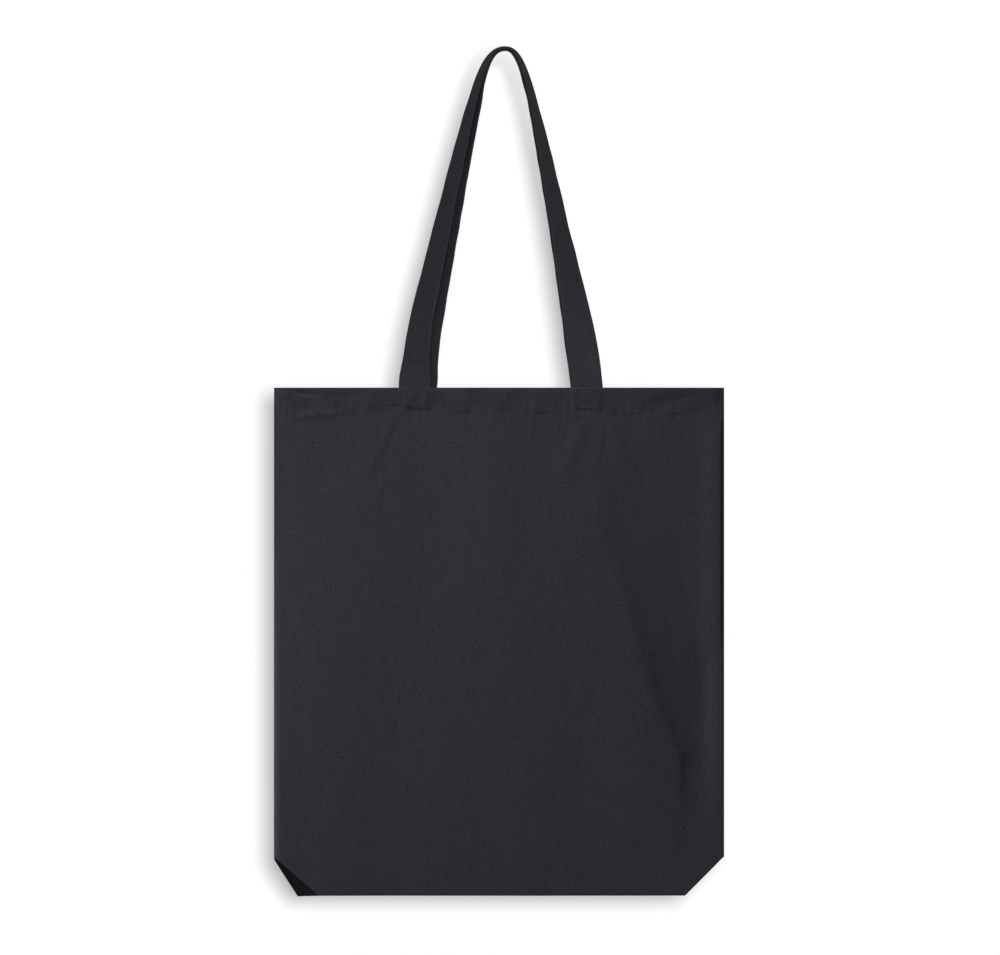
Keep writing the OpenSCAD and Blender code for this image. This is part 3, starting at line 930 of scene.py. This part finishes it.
def blend_up(obj, side):
    """Moves the handle's placement into its mesh."""
    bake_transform(obj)


def strap(side):
    frames = strap_frames(side)
    rings, uv, wear_and_edge_highlight = strap_rings(side, frames)
    name = SIDE_NAME[side]
    obj = sweep(f"{name}_strap", rings, uv, canvas_straps, wear_and_edge_highlight)
    blend_up(obj, side)
    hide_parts(f"{name}_handle", f"{name}_left_strap_end", f"{name}_right_strap_end")

    s_all = run_length(frames[0])
    row = STRAP_W / 2 - ROW_INSET
    parts = []
    for face in (1, -1):
        def place(s, face=face):
            at = [np.array([np.interp(s, s_all, part[:, k]) for k in range(3)]) for part in frames]
            wobble = 0.18 * MM * math.sin(s / (19 * MM)) + 0.1 * MM * math.sin(s / (5.3 * MM))
            sway = 0.16 * MM * float(ripples(51 + side, row * 0.6, s, 40 * MM, 30 * MM))
            height = face * 0.72 * STRAP_T / 2 + sway
            return at[0] + at[1] * (row + wobble) + at[2] * height, face * unit(at[2])

        margin = STRAP_END_H + 1 * MM
        parts += stitch_row(place, margin, s_all[-1] - margin, 71 + side + face)
    stitches = join_parts(f"{name}_strap_stitches", parts, [sewing_thread, hole_shadow])
    blend_up(stitches, side)
    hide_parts(f"{name}_handle_stitching")
    return [obj, stitches]


# ---- Stitching on the hem ----

def face_places(side, x, z):
    """A point on the outer face of a panel, and the way out of it."""
    point = outer_point(side, x, z)
    du = outer_point(side, x + 0.5 * MM, z) - outer_point(side, x - 0.5 * MM, z)
    dz = outer_point(side, x, z + 0.5 * MM) - outer_point(side, x, z - 0.5 * MM)
    return point, unit(np.cross(du, dz)) * (-side)


def hem_row(side, start, end, name):
    """The row of stitches that holds the hem, outside and inside."""
    def outside(x):
        wobble = 0.22 * MM * math.sin(x / (17 * MM)) + 0.12 * MM * math.sin(x / (4.1 * MM))
        return face_places(side, x, float(hem_row_z(x)) + wobble)

    def inside(x):
        point, up = outside(x)
        return point - up * INNER_ROW_Y, -up

    parts = stitch_row(outside, start, end, 83 + side, HEM_HOLE_R)
    parts += stitch_row(inside, start, end, 87 + side, HEM_HOLE_R)
    obj = join_parts(name, parts, [sewing_thread, hole_shadow])
    return obj


def hem_stitches():
    end = HALF_W - 3 * MM
    front = hem_row(-1, -end, end, "front_hem_stitches")
    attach(front, "bag_body")
    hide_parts("front_hem_stitching")
    for hand in (-1, 1):
        half = hem_row(1, 0.2 * MM * hand, hand * end, f"back_hem_stitches_{HAND_NAME[hand]}")
        blend_sideways(half, hand)
        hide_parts("back_hem_stitching")


def box_stitches(side, hand):
    """The crossed box that holds a handle's end, outside on the hem and inside on the strap."""
    left, right = (END_X[side, hand] + reach * MM for reach in BOX_REACH[side, hand])
    corners = [(left, BOX_TOP), (left, BOX_LOW), (right, BOX_LOW), (right, BOX_TOP)]
    lines = list(zip(corners, corners[1:] + corners[:1]))
    lines += [(corners[0], corners[2]), (corners[1], corners[3])]
    parts = []
    for index, (start, end) in enumerate(lines):
        length = math.dist(start, end)

        def at(s, start=start, end=end, length=length):
            return [start[k] + (end[k] - start[k]) * s / length for k in (0, 1)]

        def outside(s, at=at):
            return face_places(side, *at(s))

        def inside(s, at=at):
            x, z = at(s)
            y = side * (STRAP_Y - STRAP_T / 2)
            return np.array([x + MID_X, y, z + FLOOR_Z]), np.array([0, -side * 1.0, 0])

        seed = 100 + 10 * side + 3 * hand + index
        parts += stitch_row(outside, 0, length, seed) + stitch_row(inside, 0, length, seed + 50)
    name = f"{SIDE_NAME[side]}_{HAND_NAME[hand]}_box_stitch"
    obj = join_parts(name + "es", parts, [sewing_thread, hole_shadow])
    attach(obj, "bag_body" if side < 0 else "back_side")
    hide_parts(name + "ing")


# ---- Stage, light and camera ----

VIEW_W = 848.2 * MM         # width that the camera sees at the front panel
VIEW_X, VIEW_Z = -4.2 * MM, -362 * MM
LENS, SENSOR = 200.0, 36.0
FLOOR_DROP = 125 * MM       # from the bag's bottom crease to the floor
FLOOR_HALF = 8.0
WALL_Y, WALL_HALF, WALL_TOP = 0.42, 0.75, 0.4
SHADOW_X, SHADOW_Z = 0.10, 0.065    # from the camera to the light that casts the shadow on the wall


def camera():
    data = bpy.data.cameras.new("camera")
    data.lens, data.sensor_width = LENS, SENSOR
    data.clip_start, data.clip_end = 0.1, 60
    obj = bpy.data.objects.new("camera", data)
    distance = LENS / SENSOR * VIEW_W
    obj.location = (VIEW_X, -HALF_GAP - distance, VIEW_Z)
    obj.rotation_euler = (math.radians(90), 0, 0)
    bpy.context.scene.collection.objects.link(obj)
    bpy.context.scene.camera = obj
    return obj


def plane(name, corners, material):
    mesh = bpy.data.meshes.new(name)
    mesh.from_pydata(corners, [], [[0, 1, 2, 3]])
    mesh.materials.append(material)
    obj = bpy.data.objects.new(name, mesh)
    bpy.context.scene.collection.objects.link(obj)
    return obj


def paper(name, value, glow):
    """Plain pale paper that glows a little, and that can be seen from its front only."""
    n = Nodes(name)
    sockets = n.shader.inputs
    sockets["Base Color"].default_value = (value, value, value, 1)
    sockets["Roughness"].default_value = 0.9
    sockets["Emission Color"].default_value = (1, 1, 1, 1)
    sockets["Emission Strength"].default_value = glow
    behind = n.add("ShaderNodeNewGeometry").outputs["Backfacing"]
    clear = n.add("ShaderNodeBsdfTransparent")
    mix = n.add("ShaderNodeMixShader", Fac=behind)
    n.link(n.shader.outputs[0], mix.inputs[1])
    n.link(clear.outputs[0], mix.inputs[2])
    n.link(mix.outputs[0], n.tree.nodes["Material Output"].inputs[0])
    return n.material


def area_light(name, place, aim, size, power):
    data = bpy.data.lights.new(name, "AREA")
    data.shape, data.size, data.energy = "DISK", size, power
    obj = bpy.data.objects.new(name, data)
    place, aim = np.array(place, dtype=float), np.array(aim, dtype=float)
    obj.location = place
    obj.rotation_euler = Vector(aim - place).to_track_quat("-Z", "Y").to_euler()
    obj.visible_camera = False
    bpy.context.scene.collection.objects.link(obj)
    return obj


def receivers(light, objects, state):
    """The light falls on these objects only, or on everything but them."""
    group = bpy.data.collections.new(light.name + "_receivers")
    for obj in objects:
        group.objects.link(obj)
    light.light_linking.receiver_collection = group
    for item in group.collection_objects:
        item.light_linking.link_state = state


def backdrop():
    """The floor, and a wall behind the bag that takes its shadow."""
    floor_z, half = FLOOR_Z - FLOOR_DROP, FLOOR_HALF
    corners = [(x, y, floor_z) for x, y in ((-half, -half), (half, -half), (half, half), (-half, half))]
    floor = plane("studio_floor", corners, paper("floor_paper", 0.80, 0.20))
    floor.visible_diffuse = False
    y, half, top = WALL_Y, WALL_HALF, WALL_TOP
    corners = [(-half, y, floor_z), (half, y, floor_z), (half, y, top), (-half, y, top)]
    wall = plane("backdrop", corners, paper("backdrop_paper", 0.90, 0.25))
    return floor, wall


def room_light():
    """Even light from all round, which is white where the camera sees it."""
    world = bpy.data.worlds.new("studio")
    world.use_nodes = True
    bpy.context.scene.world = world
    tree = world.node_tree
    background = tree.nodes["Background"]
    background.inputs[0].default_value = (1, 1, 1, 1)
    path = tree.nodes.new("ShaderNodeLightPath")
    strength = tree.nodes.new("ShaderNodeMapRange")
    strength.inputs["To Min"].default_value = 0.30
    strength.inputs["To Max"].default_value = 1.0
    tree.links.new(path.outputs["Is Camera Ray"], strength.inputs["Value"])
    tree.links.new(strength.outputs[0], background.inputs["Strength"])
    bpy.context.scene.view_settings.view_transform = "Standard"


def lights(cam, floor, wall, handles):
    """The lamps. The handles turn away from the key light, so they have a light of their own."""
    centre = (0, 0, FLOOR_Z + 0.25)
    key = area_light("key", (-3.4, -2.0, 3.0), centre, 1.3, 425)
    receivers(key, [wall, floor] + handles, "EXCLUDE")
    back_key = area_light("back_key", (1.6, 1.9, 1.0), centre, 1.2, 60)
    receivers(back_key, [wall, floor], "EXCLUDE")

    place = (cam.location.x + SHADOW_X, cam.location.y, cam.location.z + SHADOW_Z)
    wall_light = area_light("wall_light", place, (VIEW_X, WALL_Y, VIEW_Z), 0.25, 152)
    receivers(wall_light, [wall], "INCLUDE")

    sun = bpy.data.lights.new("floor_light", "SUN")
    sun.angle, sun.energy = math.radians(50), 1.2
    sun_object = bpy.data.objects.new("floor_light", sun)
    bpy.context.scene.collection.objects.link(sun_object)
    receivers(sun_object, [floor], "INCLUDE")

    centre = (0, 0, FLOOR_Z + BODY_H + 0.14)
    handle_key = area_light("handle_key", (0.0, -2.4, -0.1), centre, 0.9, 50)
    receivers(handle_key, handles, "INCLUDE")


cam = camera()
floor, wall = backdrop()
room_light()

front = front_cloth()
base = back_base()
back_left, back_right = back_cloth()
for hand in (-1, 1):
    side_seam(hand)
    corner_seam(hand)
bottom_seam()
handles = []
for side in (-1, 1):
    handles += strap(side)
    for hand in (-1, 1):
        box_stitches(side, hand)
hem_stitches()
lights(cam, floor, wall, handles)
